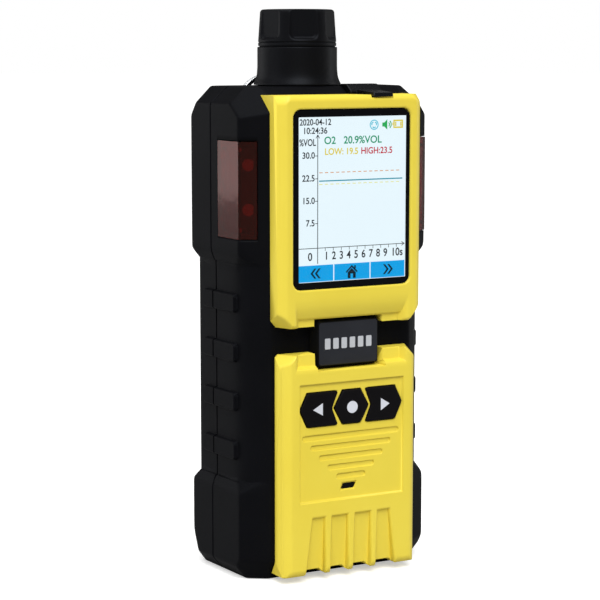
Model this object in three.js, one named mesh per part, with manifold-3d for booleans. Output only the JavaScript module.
// Portable pumped gas detector: black two-part case, two yellow front covers, screen, three keys,
// red alarm windows on both upper corners, screw-on inlet filter, charging port cover, split ring
// and belt clip. Millimetres. X to the right seen from the front, Y into the depth, Z up.
// The base face lies on Z = 0 and the plan centre of the case is the origin.
import * as THREE from 'three';
import { mergeVertices } from 'three/addons/utils/BufferGeometryUtils.js';
import Module from 'manifold-3d';

const wasm = await Module();
wasm.setup();

// ---- driving sizes ----
const gap = 0.3;               // clearance between fixed neighbours
const play = 0.3;              // clearance between moving pieces
const wall = 2.2;              // case wall

const height = 172.7;          // base face to top face of the case
const ridgeX = 37.7;           // half width of the bumps at the front corner ridge
const flare = 0.07;            // side walls lean outward toward the back, X per Y
const coverY = -26;            // front plane of the yellow covers
const faceY = -18;             // black front face under the covers
const ridgeY = -12.6;          // corner ridge between front chamfer and side wall
const seamY = 6;               // parting plane of the two shells
const seamGap = 0.8;
const sideEndY = 20;           // side wall ends, rear corner chamfer starts
const backY = 25.5;
const rearInset = 5.5;         // rear corner chamfer, X
const cornerDrop = 5.7;        // top corner chamfer, Z
const ridgeDrop = 10.2;        // corner facets meet the ridges this far under the top
const coverDrop = 8.5;         // and the cover edge this far under it
const baseBevel = 4.8;         // bottom edge bevel, Z

const waistInset = 1.4;        // waist is this much narrower than the bumps, each side
const waistBack = 1.5;
const waistSoft = 7;           // the waist ridge is rounded off over this length, each way
const softSteps = 5;
const bumpBevel = 3.3;
const lowerBumpZ = 31.5;       // full section of the lower bump ends
const upperBumpZ = height - 57.4;

const padCount = 4;
const padPitch = 17.4;
const padHigh = 6.8;
const padRise = 0.9;
const padFrontY = -8.6;
const padBackY = 13.5;
const padFirstZ = 42.5;
const padRound = 1.4;          // corners of a pad seen from the side

const coverX = ridgeX - 9.3;   // half width of the upper cover
const panelX = ridgeX - 11;    // half width of the lower cover
const coverEdge = 2.2;         // bevel on the outer front edges of both covers
const upperTop = height - 2.7;
const midZ = 0.4854 * height;  // centre of the badge
const upperBottom = midZ + 6.5;
const panelTop = midZ - 3;
const panelBottom = 2.5;
const railX = 20.6;            // inner edge of the side rails beside the badge
const ledgeDeep = 2.2;         // ledges beside the badge lie this far behind the front plane

const glassX = 23.4;           // window opening, half width
const glassHigh = 61.9;
const glassTop = height - 7.3;
const glassRound = 3;
const glassThick = 1.1;
const glassSunk = 0.4;
const lcdLap = 1.2;            // display module reaches this far past the window opening
const lcdThick = 2.8;
const lcdX = glassX + lcdLap;

const badge = { faceX: 12, faceZ: 7.8, baseX: 13.2, baseZ: 8.6, faceY: -23 };

const recessX = 21;            // key field sunk into the lower cover
const recessTop = panelTop - 10.3;
const recessBottom = 28.6;
const recessDeep = 0.8;
const keyProud = 0.7;          // keys stand this far out of the key field
const keyTravel = 0.9;
const keyThick = 2.4;
const keyZ = panelTop - 19.4;
const keyHigh = 6;             // half height of the keys
const flange = 0.7;

const collar = { x: -4, r: 14.2, foot: 1.4, top: 13.05 };
const capSkirt = 2.9;          // collar radius less the bore of the cap
const sealDeep = 1.3;          // groove for the sealing ring in the neck
const neckWall = 1.5;          // left between that groove and the air way
const spigotWall = 1.2;        // air way wall where the collar enters the case
const topEdgeY = -8.6;         // front edge of the top face
const collarY = topEdgeY + collar.r + collar.foot;
const capTopR = 13.1;
const capHigh = 12.85;
const capPhase = -108;         // direction of the first finger hollow, degrees
const inletHoles = 5;
const hollowCount = 6;
const hollowWide = 9.6;
const hollowDeep = 1;
const hollowFloor = 2.6;       // hollows stop this far above the lower edge of the cap
const capBoreR = collar.r - capSkirt;
const airWayR = capBoreR - play - sealDeep - neckWall;

const lensTop = height - 18.1;
const lensHigh = 34.1;
const lensBackY = 1.5;
const lensFacet = 0.63;        // share of the front chamfer the lens covers
const lensThick = 1.6;

const portX = 12;              // centre of the charging port on the top bevel
const portHalf = 6.4;          // half width of its cover
const portDeep = 3.1;          // the cover lies this deep in the top face
const tabHalf = 3.9;           // half width of the pull tab
const portFrontY = topEdgeY - 6;
const portBackY = topEdgeY + 2.2;
const ring = { x: -5, r: 12, wire: 1.2, y: backY + 2.9 };
const ringPivotZ = height + 2.6;
const clip = { x: 10, top: height - 52, bottom: 46, standOff: 7, thick: 1.6, pinR: 1.5 };

// ---- shape helpers ----
const V = (x, y, z) => new THREE.Vector3(x, y, z);

function solid(geometry) {
  const g = geometry.index ? geometry.toNonIndexed() : geometry.clone();
  g.deleteAttribute('normal');
  g.deleteAttribute('uv');
  const m = mergeVertices(g, 1e-4);
  const mesh = new wasm.Mesh({
    numProp: 3,
    vertProperties: new Float32Array(m.attributes.position.array),
    triVerts: new Uint32Array(m.index.array),
  });
  return new wasm.Manifold(mesh);
}

function shapeOf(points, holes = []) {
  const toV2 = (p) => new THREE.Vector2(p[0], p[1]);
  const shape = new THREE.Shape(points.map(toV2));
  holes.forEach((h) => shape.holes.push(new THREE.Path(h.map(toV2))));
  return shape;
}

function prism(points, from, to, xAxis, yAxis) {
  const g = new THREE.ExtrudeGeometry(shapeOf(points), { depth: to - from, bevelEnabled: false });
  const zAxis = xAxis.clone().cross(yAxis);
  g.applyMatrix4(new THREE.Matrix4().makeBasis(xAxis, yAxis, zAxis));
  g.translate(zAxis.x * from, zAxis.y * from, zAxis.z * from);
  return solid(g);
}

// Outline in plan (x, y) carried up from z0 to z1.
const prismZ = (pts, z0, z1) => prism(pts, z0, z1, V(1, 0, 0), V(0, 1, 0));
// Outline in side view (y, z) carried from x0 to x1.
const prismX = (pts, x0, x1) => prism(pts, x0, x1, V(0, 1, 0), V(0, 0, 1));
// Outline in front view (x, z) carried from y0 back to y1.
const prismY = (pts, y0, y1) => prism(pts, -y1, -y0, V(1, 0, 0), V(0, 0, 1));

function box(x0, x1, y0, y1, z0, z1) {
  const g = new THREE.BoxGeometry(x1 - x0, y1 - y0, z1 - z0);
  g.translate((x0 + x1) / 2, (y0 + y1) / 2, (z0 + z1) / 2);
  return solid(g);
}

// Profile (radius, height) turned about the Z axis through (x, y).
function turned(profile, x, y, sides = 32) {
  const g = new THREE.LatheGeometry(profile.map((p) => new THREE.Vector2(p[0], p[1])), sides);
  g.rotateX(Math.PI / 2);
  g.translate(x, y, 0);
  return solid(g);
}

function rod(axis, r, centre, from, to, sides = 20) {
  const g = new THREE.CylinderGeometry(r, r, to - from, sides);
  g.translate(0, (from + to) / 2, 0);
  if (axis === 'x') g.rotateZ(-Math.PI / 2);
  if (axis === 'z') g.rotateX(Math.PI / 2);
  const [a, b] = centre;
  if (axis === 'x') g.translate(0, a, b);
  if (axis === 'y') g.translate(a, 0, b);
  if (axis === 'z') g.translate(a, b, 0);
  return solid(g);
}

// Takes away all material on the far side of the plane through a, b and c, seen from `inside`.
function trimmed(body, a, b, c, inside) {
  const [pa, pb, pc] = [V(...a), V(...b), V(...c)];
  const n = pb.clone().sub(pa).cross(pc.clone().sub(pa)).normalize();
  if (n.dot(V(...inside).sub(pa)) > 0) n.negate();
  const big = 600;
  const g = new THREE.BoxGeometry(big, big, big);
  g.translate(0, 0, big / 2);
  g.applyQuaternion(new THREE.Quaternion().setFromUnitVectors(V(0, 0, 1), n));
  g.translate(pa.x, pa.y, pa.z);
  return body.subtract(solid(g));
}

const flip = (p) => [-p[0], p[1], p[2]];

// The same trim on the right side and, mirrored, on the left.
function trimmedBoth(body, a, b, c, inside) {
  return trimmed(trimmed(body, a, b, c, inside), flip(a), flip(b), flip(c), inside);
}

// Closed outline from its right half, given from front (or bottom) to back (or top).
function mirrored(half) {
  const left = half.filter((p) => p[0] > 1e-9).map((p) => [-p[0], p[1]]).reverse();
  return [...half, ...left];
}

function roundedRect(hx, z0, z1, r, steps = 4) {
  const pts = [];
  const corners = [[hx - r, z0 + r, -90], [hx - r, z1 - r, 0], [-hx + r, z1 - r, 90], [-hx + r, z0 + r, 180]];
  corners.forEach(([cx, cz, start]) => {
    for (let i = 0; i <= steps; i += 1) {
      const a = ((start + (90 * i) / steps) * Math.PI) / 180;
      pts.push([cx + r * Math.cos(a), cz + r * Math.sin(a)]);
    }
  });
  return pts;
}

// Convex outline moved inward by d.
function inset(points, d) {
  const n = points.length;
  const out = [];
  for (let i = 0; i < n; i += 1) {
    const p = points[(i + n - 1) % n];
    const q = points[i];
    const r = points[(i + 1) % n];
    const u = new THREE.Vector2(q[0] - p[0], q[1] - p[1]).normalize();
    const v = new THREE.Vector2(r[0] - q[0], r[1] - q[1]).normalize();
    const bis = new THREE.Vector2(-u.y - v.y, u.x + v.x).normalize();
    const k = d / (bis.x * -u.y + bis.y * u.x);
    out.push([q[0] + bis.x * k, q[1] + bis.y * k]);
  }
  return out;
}

function tube(points, outer, bore, steps = 9, sides = 8) {
  const circle = (r, dir) => Array.from({ length: sides }, (_, i) => {
    const a = (dir * 2 * Math.PI * i) / sides;
    return [r * Math.cos(a), r * Math.sin(a)];
  });
  const path = new THREE.CatmullRomCurve3(points.map((p) => V(...p)));
  const shape = shapeOf(circle(outer, 1), bore > 0 ? [circle(bore, -1)] : []);
  return solid(new THREE.ExtrudeGeometry(shape, { steps, extrudePath: path, bevelEnabled: false }));
}

const joinAll = (list) => list.reduce((a, b) => a.add(b));

function mesh(name, body, color, roughness, metalness = 0) {
  const m = body.getMesh();
  const g = new THREE.BufferGeometry();
  g.setAttribute('position', new THREE.BufferAttribute(new Float32Array(m.vertProperties), 3));
  g.setIndex(new THREE.BufferAttribute(new Uint32Array(m.triVerts), 1));
  g.computeVertexNormals();
  const material = new THREE.MeshStandardMaterial({ color, roughness, metalness });
  const out = new THREE.Mesh(g, material);
  out.name = name;
  return out;
}

// ---- case outline ----
const sideX = (y) => ridgeX + flare * (y - ridgeY);
const centre = [0, 0, height / 2];
const cornerX = sideX(seamY) - 7.2;

// Curve that leaves the line p-q and joins the line q-r, each `run` away from the corner q.
function softened(p, q, r, run) {
  const [P, Q, R] = [p, q, r].map(([x, y]) => V(x, y, 0));
  const from = P.sub(Q).setLength(run).add(Q);
  const to = R.sub(Q).setLength(run).add(Q);
  return new THREE.QuadraticBezierCurve3(from, Q, to).getPoints(softSteps).map((v) => [v.x, v.y]);
}

function bumpPlan(narrow, backNarrow, soft = 0) {
  const front = [coverX, faceY];
  const ridge = [ridgeX - narrow, ridgeY];
  const sideEnd = [sideX(sideEndY) - narrow - 0.6 * backNarrow, sideEndY - backNarrow];
  const rear = [sideX(sideEndY) - narrow - rearInset, backY - backNarrow];
  const corner = soft > 0 ? softened(front, ridge, sideEnd, soft) : [ridge];
  return mirrored([front, ...corner, sideEnd, rear]);
}

// Front corner, top corner and rear corner facets of the upper bump.
function upperBump() {
  let b = prismZ(bumpPlan(0, 0), upperBumpZ, height);
  const shoulderZ = height - cornerDrop;
  const sideTop = [sideX(-7), -7, shoulderZ];
  const endX = sideX(sideEndY);
  b = trimmedBoth(b, sideTop, [sideX(14), 14, shoulderZ], [cornerX, -1, height], centre);
  b = trimmedBoth(b, sideTop, [ridgeX, ridgeY, height - ridgeDrop], [coverX, faceY, height - coverDrop], centre);
  b = trimmed(b, [0, topEdgeY, height], [9, topEdgeY, height], [0, topEdgeY - 4.5, upperTop - 0.3], centre);
  b = trimmedBoth(b, [endX, sideEndY, height - ridgeDrop], [endX - rearInset, backY, height - ridgeDrop - 0.3],
    [endX - 9.5, sideEndY + 0.5, height], centre);
  b = trimmed(b, [0, sideEndY + 1, height], [9, sideEndY + 1, height], [0, backY, height - 4.7], centre);
  return b;
}

function lowerBump() {
  let b = prismZ(bumpPlan(0, 0), 0, lowerBumpZ);
  const endX = sideX(sideEndY);
  b = trimmedBoth(b, [sideX(0), 0, baseBevel], [sideX(sideEndY), sideEndY, baseBevel],
    [sideX(0) - 4.2, 0, 0], centre);
  b = trimmed(b, [0, faceY, 7], [9, faceY, 7], [0, faceY + 4, 0], centre);
  b = trimmedBoth(b, [ridgeX, ridgeY, 8], [coverX, faceY, 7], [ridgeX - 6, ridgeY + 1.4, 0], centre);
  b = trimmedBoth(b, [endX, sideEndY, 12], [endX - rearInset, backY, 11], [endX - 6.5, sideEndY + 1.6, 0], centre);
  b = trimmed(b, [0, backY, 6], [9, backY, 6], [0, backY - 3.4, 0], centre);
  return b;
}

// Short frustum between a bump and the waist: the bump section thinned step by step by a bevel.
function bumpShoulder(zFull, zWaist) {
  const dir = Math.sign(zWaist - zFull);
  let b = prismZ(bumpPlan(0, 0), Math.min(zFull, zWaist), Math.max(zFull, zWaist));
  const w = waistInset;
  const end = sideX(sideEndY);
  const inner = [0, 0, zFull - dir * 20];
  b = trimmedBoth(b, [ridgeX, ridgeY, zFull], [end, sideEndY, zFull], [ridgeX - w, ridgeY, zWaist], inner);
  b = trimmedBoth(b, [ridgeX, ridgeY, zFull], [coverX, faceY, zFull + dir * bumpBevel],
    [ridgeX - w, ridgeY, zWaist], inner);
  b = trimmedBoth(b, [end, sideEndY, zFull], [end - rearInset, backY, zFull],
    [end - w - waistBack, sideEndY - waistBack, zWaist], inner);
  const [mx, my] = waistPlan[1 + Math.ceil(softSteps / 2)];
  b = trimmedBoth(b, [ridgeX, ridgeY, zFull], [ridgeX + 1, ridgeY + 1.5, zFull], [mx, my, zWaist], inner);
  return trimmed(b, [0, backY, zFull], [9, backY, zFull], [0, backY - waistBack, zWaist], inner);
}

const waistPlan = bumpPlan(waistInset, waistBack, waistSoft);

function gripPad(z) {
  const w = (y) => sideX(y) - waistInset + padRise;
  const plan = [[30, padFrontY], [w(padFrontY), padFrontY], [w(padBackY), padBackY], [30, padBackY]];
  const half = (padBackY - padFrontY) / 2;
  const side = roundedRect(half, z, z + padHigh, padRound).map(([y, up]) => [y + padFrontY + half, up]);
  return prismZ(plan, z, z + padHigh).intersect(prismX(side, 0, 60));
}

function caseOutside() {
  const parts = [upperBump(), lowerBump()];
  parts.push(bumpShoulder(upperBumpZ, upperBumpZ - bumpBevel));
  parts.push(bumpShoulder(lowerBumpZ, lowerBumpZ + bumpBevel));
  parts.push(prismZ(waistPlan, lowerBumpZ - 2, upperBumpZ + 2));
  for (let i = 0; i < padCount; i += 1) {
    const pad = gripPad(padFirstZ + i * padPitch);
    parts.push(pad);
    parts.push(pad.mirror([1, 0, 0]));
  }
  return joinAll(parts);
}

// Hollow inside both shells, narrowing below the top corners and above the base bevel.
function caseInside() {
  const plan = prismZ(inset(waistPlan, wall), wall + 1, height - wall);
  const x = sideX(0) - 3;
  const view = mirrored([[x - 8, wall], [x, baseBevel + 5], [x, height - 15], [cornerX - 5, height - 6],
    [cornerX - 5, height - 1]]);
  const front = prismY(view, faceY, backY);
  const bevel = prismX([[faceY, wall + 7], [faceY + 7, wall], [backY - 5, wall], [backY, wall + 9],
    [backY, height - 14], [backY - 8, height - wall], [topEdgeY + 2, height - wall], [faceY, height - 10]], -60, 60);
  return plan.intersect(front).intersect(bevel);
}

const outside = caseOutside();
const inside = caseInside();

// ---- screws and their bosses ----
const screwSpots = [[-26, 14], [26, 14], [-25, height - 17], [25, height - 17]];
const screwHeadR = 2.6;
const screwR = 1.4;
const screwSunk = 2.4;         // screw heads lie this far below the back face
const headHigh = 2;
const bossR = 3.6;

function caseScrew([x, z]) {
  const head = rod('y', screwHeadR, [x, z], backY - screwSunk - headHigh, backY - screwSunk, 16);
  const shank = rod('y', screwR, [x, z], seamY - 6, backY - screwSunk - headHigh, 12);
  const [y0, y1] = [backY - screwSunk - 0.7, backY - 2];
  const slot = box(x - 1.6, x + 1.6, y0, y1, z - 0.35, z + 0.35);
  const cross = box(x - 0.35, x + 0.35, y0, y1, z - 1.6, z + 1.6);
  return head.add(shank).subtract(slot).subtract(cross);
}

// ---- lens plan: side wall, ridge and part of the front chamfer ----
const facetEnd = [ridgeX - lensFacet * (ridgeX - coverX), ridgeY - lensFacet * (ridgeY - faceY)];

function lensPlan(outward, back, front) {
  const facet = V(coverX - ridgeX, faceY - ridgeY, 0).normalize();
  const side = V(flare, 1, 0).normalize();
  const sideN = V(side.y, -side.x, 0);
  const facetN = V(-facet.y, facet.x, 0);
  const k = outward / (1 + sideN.dot(facetN));
  const ridge = V(ridgeX, ridgeY, 0).addScaledVector(sideN.clone().add(facetN), k);
  const end = V(...facetEnd, 0).addScaledVector(facet, front).addScaledVector(facetN, outward);
  const rear = V(sideX(lensBackY), lensBackY, 0).addScaledVector(side, back).addScaledVector(sideN, outward);
  return [end, ridge, rear];
}

function lensBody(shrink, deep, cut = 0) {
  const outer = lensPlan(cut, -shrink, -shrink);
  const inner = lensPlan(-deep, -shrink, -shrink).reverse();
  const plan = [...outer, ...inner].map((p) => [p.x, p.y]);
  return prismZ(plan, lensTop - lensHigh + shrink, lensTop - shrink);
}

// ---- shells ----
function windowHole(shrink, y0, y1) {
  const outline = roundedRect(glassX - shrink, glassTop - glassHigh + shrink, glassTop - shrink, glassRound);
  return prismY(outline, y0, y1);
}

function portPocket(grow) {
  return box(portX - portHalf - grow, portX + portHalf + grow, portFrontY - grow, portBackY + grow,
    height - portDeep - grow, height + 2);
}

function frontShell() {
  const half = box(-60, 60, faceY - 1, seamY - seamGap / 2, -1, height + 1);
  let s = outside.intersect(half).subtract(inside);
  const bosses = screwSpots.map((p) => rod('y', bossR, p, faceY + 1, seamY - seamGap / 2, 16));
  const bossCores = screwSpots.map((p) => rod('y', screwR + gap, p, seamY - 7, seamY + 1, 12));
  s = s.add(joinAll(bosses).intersect(outside)).subtract(joinAll(bossCores));
  const lens = lensBody(0, lensThick + gap, 2);
  const lensBore = lensBody(1.6, 8, -0.5);
  s = s.subtract(joinAll([lens, lensBore, lens.mirror([1, 0, 0]), lensBore.mirror([1, 0, 0])]));
  s = s.subtract(box(-16, 16, faceY - 1, faceY + 5, glassTop - 40, glassTop - 22));
  s = s.subtract(box(-17, 17, faceY - 1, faceY + 5, keyZ - 3, keyZ + 3));
  s = s.subtract(rod('y', sounderR + 0.6, [soundSlot.x, soundSlot.z], faceY - 1, faceY + 6, 20));
  s = s.subtract(portPocket(gap)).subtract(portSocketBore());
  return s.subtract(collarBore());
}

function rearShell() {
  const half = box(-60, 60, seamY + seamGap / 2, backY + 1, -1, height + 1);
  let s = outside.intersect(half).subtract(inside);
  const posts = screwSpots.map((p) => rod('y', bossR, p, seamY + seamGap / 2, backY - 1, 16));
  s = s.add(joinAll(posts).intersect(outside));
  const bores = screwSpots.flatMap((p) => [
    rod('y', screwR + gap, p, seamY - 1, backY + 1, 12),
    rod('y', screwHeadR + gap, p, backY - screwSunk - headHigh - gap, backY + 1, 16),
  ]);
  s = s.subtract(joinAll(bores)).subtract(collarBore());
  s = s.subtract(box(-label.x - gap, label.x + gap, backY - waistBack - label.sunk - gap, backY + 1,
    label.z0 - gap, label.z1 + gap));
  clipScrews.forEach((z) => {
    s = s.subtract(rod('y', clipScrewR + gap, [0, z], backY - 6, backY + 1, 12));
  });
  return s.subtract(rod('y', 2 + gap, [exhaust.x, exhaust.z], backY - 8, backY + 1, 14));
}

const collarBoreR = airWayR + spigotWall;
const collarBore = () => rod('z', collarBoreR + gap, [collar.x, collarY], height - 8, height + 2, 32);

// Thin seal lying in the parting plane, set back from the outer surface.
function seamGasket() {
  const slice = outside.subtract(inside).intersect(box(-60, 60, seamY - 0.5, seamY + 0.5, -1, height + 1));
  const core = slice.intersect(box(-sideX(seamY) + waistInset + 1, sideX(seamY) - waistInset - 1,
    seamY - 0.14, seamY + 0.14, 1, height - 1));
  let s = core.subtract(collarBore().intersect(box(-60, 60, -60, 60, height - 9, height + 3)));
  screwSpots.forEach((p) => {
    s = s.subtract(rod('y', screwR + gap, p, seamY - 2, seamY + 2, 12));
  });
  return s;
}

// ---- yellow covers ----
// Block in front of the case, following its front face and bevels with a small clearance.
function coverBlank(hx, z0, z1) {
  const rear = Math.max(topEdgeY, faceY + 6);
  const outlineClear = outside.translate([0, -gap, 0]);
  let c = box(-hx, hx, coverY, rear, z0, z1).subtract(outlineClear);
  c = trimmedBoth(c, [hx, coverY + coverEdge, 0], [hx, coverY + coverEdge, 9], [hx - coverEdge, coverY, 0], centre);
  return c;
}

function badgeNotch() {
  const hx = badge.baseX + 0.5;
  return box(-hx, hx, coverY - 1, 0, midZ - badge.baseZ - 0.4, midZ + badge.baseZ + 0.4);
}

function upperCover() {
  const [zb, zt] = [upperBottom, upperTop];
  const mid = [0, coverY + 3, (zb + zt) / 2];
  const e = coverEdge;
  let c = coverBlank(coverX, zb, zt);
  c = trimmed(c, [0, coverY + 1, zt], [9, coverY + 1, zt], [0, coverY, zt - 1], mid);
  c = trimmedBoth(c, [coverX, coverY + 5, zt], [coverX, coverY, zt - 4.6], [coverX - 4.4, coverY, zt], mid);
  c = trimmedBoth(c, [coverX, coverY, zb + 6], [coverX, coverY + 5, zb + 3.6], [coverX - 5.2, coverY, zb], mid);
  c = trimmed(c, [0, coverY + e * 0.6, zb], [9, coverY + e * 0.6, zb], [0, coverY, zb + 0.8], mid);
  const scoop = prismX([[coverY - 2, zb - 1], [coverY + ledgeDeep + 0.7, zb - 1], [coverY + ledgeDeep + 0.7, zb + 2.7],
    [coverY + ledgeDeep - 0.3, zb + 2.9], [coverY, zb + 7.1], [coverY - 2, zb + 9]], -railX - 2, railX + 2);
  c = c.subtract(taperedSides(scoop, zb + 3));
  c = c.subtract(windowHole(0, coverY - 1, 0));
  const pocketTop = glassTop + lcdLap + gap;
  c = c.subtract(box(-lcdX - gap, lcdX + gap, coverY + glassSunk + glassThick + 0.2, 0,
    glassTop - glassHigh - lcdLap - gap, pocketTop));
  const tabNotch = box(portX - tabHalf - 0.5, portX + tabHalf + 0.5, coverY - 1, -10, zt - 1, zt + 3);
  return c.subtract(tabNotch).subtract(portPocket(gap)).subtract(badgeNotch());
}

// Narrows a cutter toward its floor so that the rails beside it get sloping flanks.
function taperedSides(cutter, z) {
  const at = [0, coverY, z];
  const floorY = coverY + ledgeDeep + 1;
  return trimmedBoth(cutter, [railX + 1.6, coverY, z], [railX + 1.6, coverY, z + 9], [railX - 0.8, floorY, z], at);
}

const soundSlot = { x: -1.1, z: 33.1 };
const grooves = [[51.4, 19.5], [47.8, 16.2], [44, 12.9], [40.4, 9.4], [36.8, 5.9]];

function soundGroove([z, hx]) {
  return prismY(roundedRect(hx, z - 0.95, z + 0.95, 0.94, 3), coverY - 1, coverY + recessDeep + 0.5);
}

// One flute of the foot, half widths given at its top and bottom ends, floor sloping inward.
function flute(xTop0, xTop1, xBottom0, xBottom1) {
  const [zt, zb] = [22.8, -1];
  const plan = [[xBottom0, zb], [xBottom1, zb], [xTop1, zt], [xTop0, zt]];
  const depth = [[coverY - 1, zb], [coverY + 3.4, zb], [coverY + 1.2, zt], [coverY - 1, zt + 1]];
  return prismY(plan, coverY - 1, coverY + 6).intersect(prismX(depth, -30, 30));
}

function lowerCover() {
  const [zb, zt] = [panelBottom, panelTop];
  const mid = [0, coverY + 3, (zb + zt) / 2];
  let c = coverBlank(panelX, zb, zt);
  c = trimmedBoth(c, [panelX, coverY, zt - 4.5], [panelX, coverY + 4, zt - 2.6], [panelX - 4.8, coverY, zt], mid);
  c = trimmed(c, [0, coverY + 1.4, zb], [9, coverY + 1.4, zb], [0, coverY, zb + 1.4], mid);
  const ledge = prismX([[coverY - 2, zt + 1], [coverY + ledgeDeep + 0.4, zt + 1], [coverY + ledgeDeep, zt - 4],
    [coverY, zt - 5], [coverY - 2, zt - 5.4]], -railX - 2, railX + 2);
  c = c.subtract(taperedSides(ledge, zt - 2)).subtract(badgeNotch());
  c = c.subtract(box(-recessX, recessX, coverY - 1, coverY + recessDeep, recessBottom, recessTop));
  c = c.subtract(joinAll(grooves.map(soundGroove)));
  const { x, z } = soundSlot;
  c = c.subtract(prismY([[x - 2.9, z - 0.9], [x + 2, z - 0.9], [x + 2.9, z + 0.9], [x - 2, z + 0.9]], coverY - 1, 0));
  c = c.subtract(prismY([[x - 3.5, z - 1.5], [x + 2.6, z - 1.5], [x + 3.5, z + 1.5], [x - 2.6, z + 1.5]],
    coverY - 1, coverY + recessDeep + 0.5));
  keys.forEach((k) => {
    c = c.subtract(prismY(inset(k.hull, -play), coverY - 1, 0));
  });
  c = c.subtract(box(-recessX - 0.4, recessX + 0.4, keyBackY - gap, 0, keyZ - keyHigh - 1.6, keyZ + keyHigh + 1.6));
  const flutes = [[1.6, 7.8, 0.8, 8.4], [10.8, 15.5, 10.1, 18.6]].flatMap(([a, b, d, e]) => [
    flute(a, b, d, e), flute(-b, -a, -e, -d)]);
  return c.subtract(joinAll(flutes));
}

// ---- keys ----
const keyBackY = coverY + recessDeep + 2;
const keyFrontY = coverY + recessDeep - keyProud;

const outerKey = [
  [-6.9, -keyHigh], [-9.2, 0], [-6.9, keyHigh], [-17.7, keyHigh], [-20.6, 0.1], [-17.7, -keyHigh],
].map(([x, z]) => [x, keyZ + z]);
const middleKey = mirrored([[3.6, -keyHigh], [6.9, 0], [3.6, keyHigh]]).map(([x, z]) => [x, keyZ + z]);

const keys = [
  { name: 'key_left', outline: outerKey, hull: outerKey, x: -13.3 },
  { name: 'key_middle', outline: middleKey, hull: middleKey, x: 0 },
  { name: 'key_right', outline: outerKey.map((p) => [-p[0], p[1]]).reverse(), x: 13.3 },
];
keys[2].hull = keys[2].outline;

function key(k) {
  const cap = prismY(k.outline, keyFrontY, keyBackY);
  const wide = prismY(inset(k.outline, -flange), keyBackY, keyBackY + 1);
  const stem = rod('y', 2, [k.x, keyZ], keyBackY + 0.5, keyBackY + 1.6, 14);
  return cap.add(wide).add(stem);
}

function keyMembrane() {
  const y = keyBackY + 1.6 + keyTravel + 0.5;
  const sheet = box(-recessX, recessX, y, y + 0.9, keyZ - keyHigh - 1, keyZ + keyHigh + 1);
  return joinAll([sheet, ...keys.map((k) => rod('y', 2.6, [k.x, keyZ], y - 0.4, y + 0.5, 14))]);
}

// ---- screen ----
function windowGlass() {
  return windowHole(gap, coverY + glassSunk, coverY + glassSunk + glassThick);
}

function lcdModule() {
  const y = coverY + glassSunk + glassThick + gap;
  const body = box(-lcdX, lcdX, y, y + lcdThick, glassTop - glassHigh - lcdLap, glassTop + lcdLap);
  const cable = box(-8, 8, y + 1, faceY + 4.3, glassTop - 36, glassTop - 35.4);
  return body.add(cable);
}

function badgeBlock() {
  const b = badge;
  let s = box(-b.baseX, b.baseX, b.faceY, faceY - gap, midZ - b.baseZ, midZ + b.baseZ);
  const at = [0, -20, midZ];
  s = trimmedBoth(s, [b.baseX, faceY - gap, 0], [b.baseX, faceY - gap, 9], [b.faceX, b.faceY, 0], at);
  s = trimmed(s, [0, faceY - gap, midZ + b.baseZ], [9, faceY - gap, midZ + b.baseZ], [0, b.faceY, midZ + b.faceZ], at);
  return trimmed(s, [0, faceY - gap, midZ - b.baseZ], [9, faceY - gap, midZ - b.baseZ], [0, b.faceY, midZ - b.faceZ], at);
}

// ---- inlet ----
function inletCollar() {
  const { r, foot, top } = collar;
  const bore = airWayR;
  const z = height + gap;
  const neckR = capBoreR - play;
  const profile = [[bore, height - 6], [bore + spigotWall, height - 6], [bore + spigotWall, z], [r + foot, z], [r + 0.4, z + 2.6],
    [r, z + 4.6], [r, z + top], [r - 0.5, z + top + 0.3], [neckR, z + top + 0.3], [neckR, sealZ - gap],
    [neckR - sealDeep, sealZ - gap], [neckR - sealDeep, sealZ + 1 + gap], [neckR, sealZ + 1 + gap],
    [neckR, z + top + 6], [bore, z + top + 6], [bore, height - 6]];
  return turned(profile, collar.x, collarY, 36);
}

const collarTopZ = height + gap + collar.top + 0.3;
const filterR = capBoreR - 0.7;
const capZ = collarTopZ + play;
const sealZ = collarTopZ + 3;

function filterCap() {
  const r = collar.r - 0.3;
  const top = capZ + capHigh;
  const profile = [[0, capZ + 8.6], [capBoreR, capZ + 8.6], [capBoreR, capZ], [r, capZ], [r, capZ + 1.1],
    [r - 0.25, capZ + 1.3], [r, capZ + 1.5], [r - 0.1, capZ + 2.2], [capTopR, top - 1], [capTopR - 0.9, top],
    [4.2, top], [3.4, top - 1.2], [0, top - 1.2]];
  let c = turned(profile, collar.x, collarY, 36);
  for (let i = 0; i < hollowCount; i += 1) {
    const a = ((capPhase + (i * 360) / hollowCount) * Math.PI) / 180;
    const flat = new THREE.BoxGeometry(4, hollowWide, capHigh);
    flat.translate(capTopR - hollowDeep + 2, 0, capZ + hollowFloor + capHigh / 2);
    flat.rotateZ(a);
    flat.translate(collar.x, collarY, 0);
    c = c.subtract(solid(flat));
  }
  for (let i = 0; i < inletHoles; i += 1) {
    const a = (i * 2 * Math.PI) / inletHoles;
    c = c.subtract(rod('z', 0.8, [collar.x + 2 * Math.cos(a), collarY + 2 * Math.sin(a)], capZ + 8, top + 1, 8));
  }
  return c;
}

function dustFilter() {
  const z = collarTopZ + 6 + play;
  return rod('z', filterR, [collar.x, collarY], z, z + 1.6, 24);
}

function filterSeal() {
  const r = capBoreR - play;
  const inner = r - sealDeep + gap;
  const profile = [[inner, sealZ], [r + 0.1, sealZ], [r + 0.1, sealZ + 1], [inner, sealZ + 1], [inner, sealZ]];
  return turned(profile, collar.x, collarY, 32);
}

// ---- alarm windows ----
function alarmLens() {
  const skin = lensBody(gap, lensThick);
  const rim = lensBody(2.6, 3.4, -1).subtract(lensBody(3.8, 5, 1));
  return skin.add(rim);
}

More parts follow.
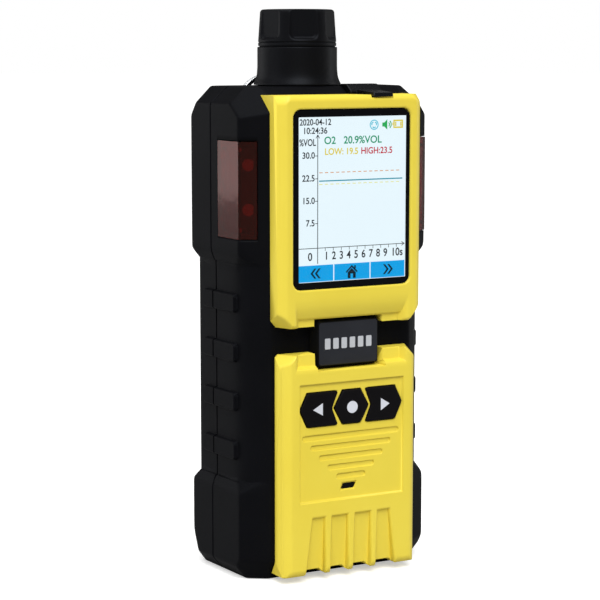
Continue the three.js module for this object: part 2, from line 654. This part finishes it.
function ledBoard() {
  const dir = V(coverX - ridgeX, faceY - ridgeY, 0).normalize();
  const out = V(-dir.y, dir.x, 0);
  const mid = V(ridgeX, ridgeY, 0).addScaledVector(dir, 3).addScaledVector(out, -9);
  const place = (g) => {
    g.rotateZ(Math.atan2(dir.y, dir.x));
    g.translate(mid.x, mid.y, 0);
    return solid(g);
  };
  const z0 = lensTop - lensHigh + 3;
  const board = new THREE.BoxGeometry(6, 1, lensHigh - 6);
  board.translate(0, 0, (z0 + lensTop - 3) / 2);
  const parts = [place(board)];
  [lensTop - 8.6, lensTop - 24.6].forEach((z) => {
    const led = new THREE.BoxGeometry(4.4, 2.4, 4);
    led.translate(0, 1.2, z);
    parts.push(place(led));
  });
  return joinAll(parts);
}

// ---- charging port on the top bevel ----
const portSocketBore = () => box(portX - 5.2, portX + 5.2, -16, topEdgeY + 1.5, height - 14, height);

function chargeSocket() {
  const [y0, y1, top] = [-15, topEdgeY + 1, height - 5.2];
  const shell = box(portX - 4.5, portX + 4.5, y0 + 2, y1, top - 7.5, top);
  const mouth = box(portX - 3.7, portX + 3.7, y0 + 2.8, y1 - 0.8, top - 6, top + 1);
  const tongue = box(portX - 2.6, portX + 2.6, (y0 + 2 + y1) / 2 - 0.4, (y0 + 2 + y1) / 2 + 0.4, top - 6.5, top - 1.2);
  return shell.subtract(mouth).add(tongue);
}

function portCover() {
  const y0 = portFrontY;
  const side = [[y0, height - portDeep], [portBackY, height - portDeep], [portBackY, height + 0.4],
    [portBackY - 0.8, height + 0.8], [topEdgeY - 2.6, height + 0.8], [y0, height - 1.6]];
  const slab = prismX(side, portX - portHalf, portX + portHalf);
  const tab = prismX([[coverY - 0.4, upperTop - 0.7], [coverY + 0.4, upperTop - 0.7], [coverY + 1.4, upperTop - 0.5],
    [y0 + 1, upperTop - 0.5], [y0 + 1, height - 1.2], [y0, height - 1.2], [coverY + 2, upperTop + 0.9],
    [coverY, upperTop + 0.7]], portX - tabHalf, portX + tabHalf);
  return slab.add(tab);
}

// ---- ring and lug ----
function ringLug() {
  const [x, z, y] = [ring.x, ringPivotZ, ring.y];
  const [z0, z1] = [height - 15, height - 5.5];
  const side = [[backY + gap, z0], [backY + gap + 1.2, z0], [backY + gap + 1.2, height - 3.8], [y + 2, z - 3.4],
    [y + 3.2, z - 1.4], [y + 3.2, z + 1.6], [y + 1.6, z + 3.2], [y - 1.6, z + 3.2], [y - 3.2, z + 1.6],
    [y - 3.2, z - 3.4], [backY + gap, height - 3]];
  const foot = box(x - 5, x + 5, backY + gap, backY + gap + 1.2, z0, z1);
  return prismX(side, x - 2, x + 2).add(foot).subtract(rod('x', 2, [y, z], x - 5, x + 5, 16));
}

// Two coils lying side by side, joined along their middle, as one closed ring.
function splitRing() {
  const { r, wire } = ring;
  const inner = r - wire;
  const profile = [[inner, -1.15], [r, -1.15], [r, -0.2], [r - 0.35, 0], [r, 0.2], [r, 1.15], [inner, 1.15],
    [inner, -1.15]];
  const g = new THREE.LatheGeometry(profile.map((p) => new THREE.Vector2(p[0], p[1])), 36);
  g.translate(ring.x, ring.y, ringPivotZ + 0.9 - r);
  return solid(g);
}

// ---- belt clip ----
const clipScrews = [clip.top + 9, clip.top + 19];
const clipScrewR = 1.2;
const clipHeadR = 2.3;
const pinY = backY + 4.4;

function clipBase() {
  const [z0, z1] = [clip.top - 5, clip.top + 23];
  const y0 = backY + gap;
  let s = box(-clip.x, clip.x, y0, y0 + 2.2, z0, z1);
  const knuckle = (x0, x1) => rod('x', 3.2, [pinY, clip.top], x0, x1, 20).add(
    box(x0, x1, y0, pinY, clip.top - 3.2, clip.top + 3.2));
  s = s.add(knuckle(-clip.x, -clip.x + 3)).add(knuckle(clip.x - 3, clip.x));
  s = s.subtract(rod('x', clip.pinR + play, [pinY, clip.top], -40, 40, 16));
  s = s.subtract(box(-clip.x + 3, clip.x - 3, y0 - 1, pinY + 6, clip.top - 4.4, clip.top + 4.4));
  clipScrews.forEach((z) => {
    s = s.subtract(rod('y', clipScrewR + gap, [0, z], backY - 1, backY + 9, 12));
    s = s.subtract(rod('y', clipHeadR + gap, [0, z], y0 + 1.2, backY + 9, 16));
  });
  return s.intersect(box(-60, 60, y0, backY + 20, z0, z1));
}

// Sprung blade: hub on the pin, straight run, hooked lower end, thumb pad above the pin.
function clipBlade() {
  const { x, thick, top, bottom, standOff } = clip;
  const y = backY + standOff;
  const hx = x - 3 - play;
  const path = [[y, top + 12], [y - 0.4, top + 4], [y, top - 6], [y, bottom + 14], [y - 3.6, bottom + 7],
    [y - 1.6, bottom]];
  const outer = [[y + thick, bottom], [y - 3.6 + thick + 1, bottom + 7], [y + thick, bottom + 14.4],
    [y + thick, top - 6], [y + thick, top + 12]];
  const run = prismX([...outer, ...path], -hx, hx);
  const wide = prismX([[y + thick, bottom + 20], [y + thick, top - 8], [y, top - 8], [y, bottom + 20]], -x, x);
  const hub = rod('x', 2.9, [pinY, top], -hx, hx, 20).add(box(-hx, hx, pinY, y + 0.6, top - 2.4, top + 2.4));
  const springRoom = box(-4.6, 4.6, pinY - 4, pinY + 3.4, top - 4, top + 4);
  return run.add(wide).add(hub).subtract(springRoom)
    .subtract(rod('x', clip.pinR + play, [pinY, top], -40, 40, 16));
}

function clipPin() {
  return rod('x', clip.pinR, [pinY, clip.top], -clip.x + 0.1, clip.x - 0.1, 16);
}

function clipSpring() {
  const turns = 3;
  const r = clip.pinR + play + 0.45;
  const pts = [];
  for (let i = 0; i <= turns * 10; i += 1) {
    const a = (i / 10) * 2 * Math.PI;
    pts.push([-3 + (6 * i) / (turns * 10), pinY + r * Math.cos(a), clip.top + r * Math.sin(a)]);
  }
  return tube(pts, 0.4, 0, turns * 12, 6);
}

function clipScrew(z) {
  const y = backY + gap + 1.2;
  const head = rod('y', clipHeadR, [0, z], y + gap, y + gap + 0.9, 16);
  const slot = box(-1.7, 1.7, y + 0.8, y + 2, z - 0.3, z + 0.3);
  return head.add(rod('y', clipScrewR, [0, z], backY - 5.4, y + gap + 0.1, 12)).subtract(slot);
}

// ---- back details ----
const label = { x: 17, z0: 70, z1: 112, sunk: 0.6 };
const exhaust = { x: 24, z: height - 34 };

function rearLabel() {
  const y = backY - waistBack - label.sunk;
  return box(-label.x, label.x, y, y + 0.4, label.z0, label.z1);
}

function exhaustNozzle() {
  const at = [exhaust.x, exhaust.z];
  const barb = rod('y', 2, at, backY - 7, backY + 0.9, 14).add(rod('y', 3.2, at, backY + gap, backY + 1.2, 16));
  return barb.subtract(rod('y', 1, at, backY - 8, backY + 3, 10));
}

// ---- inside ----
const boardY = -12.6;
const sounderR = 6;

function mainBoard() {
  let b = box(-28, 28, boardY, boardY + 1.6, 22, height - 24);
  screwSpots.forEach((p) => {
    b = b.subtract(rod('y', bossR + gap, p, boardY - 1, boardY + 3, 16));
  });
  b = b.add(box(-12, 6, boardY + 1.5, boardY + 3.4, 86, 96)).add(box(10, 20, boardY + 1.5, boardY + 3, 66, 76));
  return b;
}

const sounder = () => rod('y', sounderR, [soundSlot.x, soundSlot.z], boardY - gap - 4.4, boardY - gap, 24);

const battery = () => box(-27, 27, 9, 19.5, 26, 96).add(box(-5, 5, 12, 16, 95.5, 98));

const sensorSpots = [[-19, height - 62], [-1, height - 62], [-19, height - 44], [-1, height - 44]];
const sensorR = 7.6;
const sensorEdge = 9;          // manifold reaches this far past the sensor centres

function sensorManifold() {
  const [x0, x1] = [sensorSpots[0][0] - sensorEdge, sensorSpots[1][0] + sensorEdge];
  const [z0, z1] = [sensorSpots[0][1] - sensorEdge, sensorSpots[2][1] + sensorEdge];
  let b = box(x0, x1, -6, -1, z0, z1);
  sensorSpots.forEach((p) => {
    b = b.subtract(rod('y', sensorR + gap, p, -3.4, 2, 24));
  });
  return b;
}

const gasSensor = (p) => rod('y', sensorR, p, -3.1, 5.2, 24).add(rod('y', 5, p, 5, 6.4, 18));

const pump = { x: 20, y: -3, z: height - 56 };

function pumpBody() {
  const { x, y, z } = pump;
  const b = box(x - 7, x + 7, y - 5, y + 5, z, z + 12);
  return b.subtract(rod('z', 3.6, [x, y], z + 7, z + 13, 18));
}

const pumpMotor = () => rod('z', 5, [pump.x, pump.y], pump.z - 16.3, pump.z - gap, 24);

function pumpEccentric() {
  const { x, y, z } = pump;
  const disc = rod('z', 2.2, [x + 0.8, y], z + 7 + play, z + 10.5, 16);
  return disc.add(rod('z', 0.9, [x, y], z + 10, z + 12.6, 10));
}

function inletTube() {
  const x = collar.x - 5;
  const end = sensorSpots[2][1] + sensorEdge + gap;
  return tube([[collar.x, collarY, height - 10], [collar.x, collarY - 1, height - 16],
    [x, -3.5, height - 27], [x, -3.5, end + 3], [x, -3.5, end]], 2.4, 1.4);
}

function linkTube() {
  const [x0, x1] = [sensorSpots[1][0] + sensorEdge + gap, pump.x - 7 - gap];
  const z = pump.z + 5;
  return tube([[x0, -3.5, z], [(x0 + x1) / 2, -3.5, z], [x1, -3.5, z]], 2, 1.1, 2);
}

function exhaustTube() {
  const [y0, y1] = [pump.y + 5 + gap, backY - 7 - gap];
  const { x, z } = exhaust;
  return tube([[pump.x + 3, y0, pump.z + 4], [pump.x + 3, y0 + 3, pump.z + 4], [x, (y0 + y1) / 2, (pump.z + z) / 2 + 2],
    [x, y1 - 3, z], [x, y1, z]], 2, 1.1);
}

const buzz = { x: -21, y: -4, z: 40 };
const vibrationMotor = () => rod('x', 3.4, [buzz.y, buzz.z], buzz.x - 5, buzz.x + 5, 20);

function vibrationWeight() {
  const x0 = buzz.x + 5 + play;
  return rod('x', 3.1, [buzz.y, buzz.z], x0, x0 + 4, 20)
    .subtract(box(x0 - 1, x0 + 6, buzz.y - 5, buzz.y + 5, buzz.z + 0.8, buzz.z + 5));
}

// ---- assembly ----
const black = 0x232325;
const yellow = 0xf0d850;
const group = new THREE.Group();
group.name = 'gas_detector';
const put = (...args) => group.add(mesh(...args));

put('front_shell', frontShell(), black, 0.62);
put('rear_shell', rearShell(), black, 0.62);
put('seam_gasket', seamGasket(), 0x0c0c0d, 0.8);
put('upper_cover', upperCover(), yellow, 0.5);
put('lower_cover', lowerCover(), yellow, 0.5);
put('badge', badgeBlock(), 0x2b2b2e, 0.4);
put('window_glass', windowGlass(), 0x9fb0b8, 0.05);
put('lcd_module', lcdModule(), 0xdfe9f2, 0.3);
keys.forEach((k) => put(k.name, key(k), 0x1b1b1d, 0.6));
put('key_membrane', keyMembrane(), 0x3a3a3c, 0.8);
put('main_board', mainBoard(), 0x1f6a3a, 0.5);
put('sounder', sounder(), 0x151515, 0.5);
put('vibration_motor', vibrationMotor(), 0xb8babd, 0.35, 0.9);
put('vibration_weight', vibrationWeight(), 0x8a8c90, 0.4, 0.9);
const lens = alarmLens();
const leds = ledBoard();
put('lens_right', lens, 0x8c1414, 0.15);
put('lens_left', lens.mirror([1, 0, 0]), 0x8c1414, 0.15);
put('led_board_right', leds, 0xd8d0c4, 0.5);
put('led_board_left', leds.mirror([1, 0, 0]), 0xd8d0c4, 0.5);
put('inlet_collar', inletCollar(), black, 0.6);
put('filter_seal', filterSeal(), 0x111111, 0.7);
put('filter_cap', filterCap(), black, 0.55);
put('dust_filter', dustFilter(), 0xe9e6dc, 0.9);
put('charge_socket', chargeSocket(), 0xb8babd, 0.35, 0.9);
put('port_cover', portCover(), 0x1a1a1b, 0.7);
put('ring_lug', ringLug(), black, 0.6);
put('split_ring', splitRing(), 0xcfd2d6, 0.2, 1);
put('clip_base', clipBase(), 0x202022, 0.55);
put('clip_blade', clipBlade(), 0x202022, 0.5);
put('clip_pin', clipPin(), 0xb8babd, 0.3, 1);
put('clip_spring', clipSpring(), 0xb8babd, 0.3, 1);
clipScrews.forEach((z, i) => put(`clip_screw_${i + 1}`, clipScrew(z), 0x9a9da1, 0.35, 1));
screwSpots.forEach((p, i) => put(`case_screw_${i + 1}`, caseScrew(p), 0x9a9da1, 0.35, 1));
put('rear_label', rearLabel(), 0xc9cbce, 0.5);
put('exhaust_nozzle', exhaustNozzle(), 0x1c1c1e, 0.5);
put('battery', battery(), 0x2f4f8f, 0.5);
put('sensor_manifold', sensorManifold(), 0x3c3f44, 0.5);
sensorSpots.forEach((p, i) => put(`gas_sensor_${i + 1}`, gasSensor(p), 0xd9d9d6, 0.4));
put('pump_body', pumpBody(), 0x2a2c30, 0.5);
put('pump_motor', pumpMotor(), 0xb8babd, 0.3, 0.9);
put('pump_eccentric', pumpEccentric(), 0x8a8c90, 0.4, 0.8);
put('inlet_tube', inletTube(), 0xd9d4c4, 0.4);
put('link_tube', linkTube(), 0xd9d4c4, 0.4);
put('exhaust_tube', exhaustTube(), 0xd9d4c4, 0.4);

export default group;
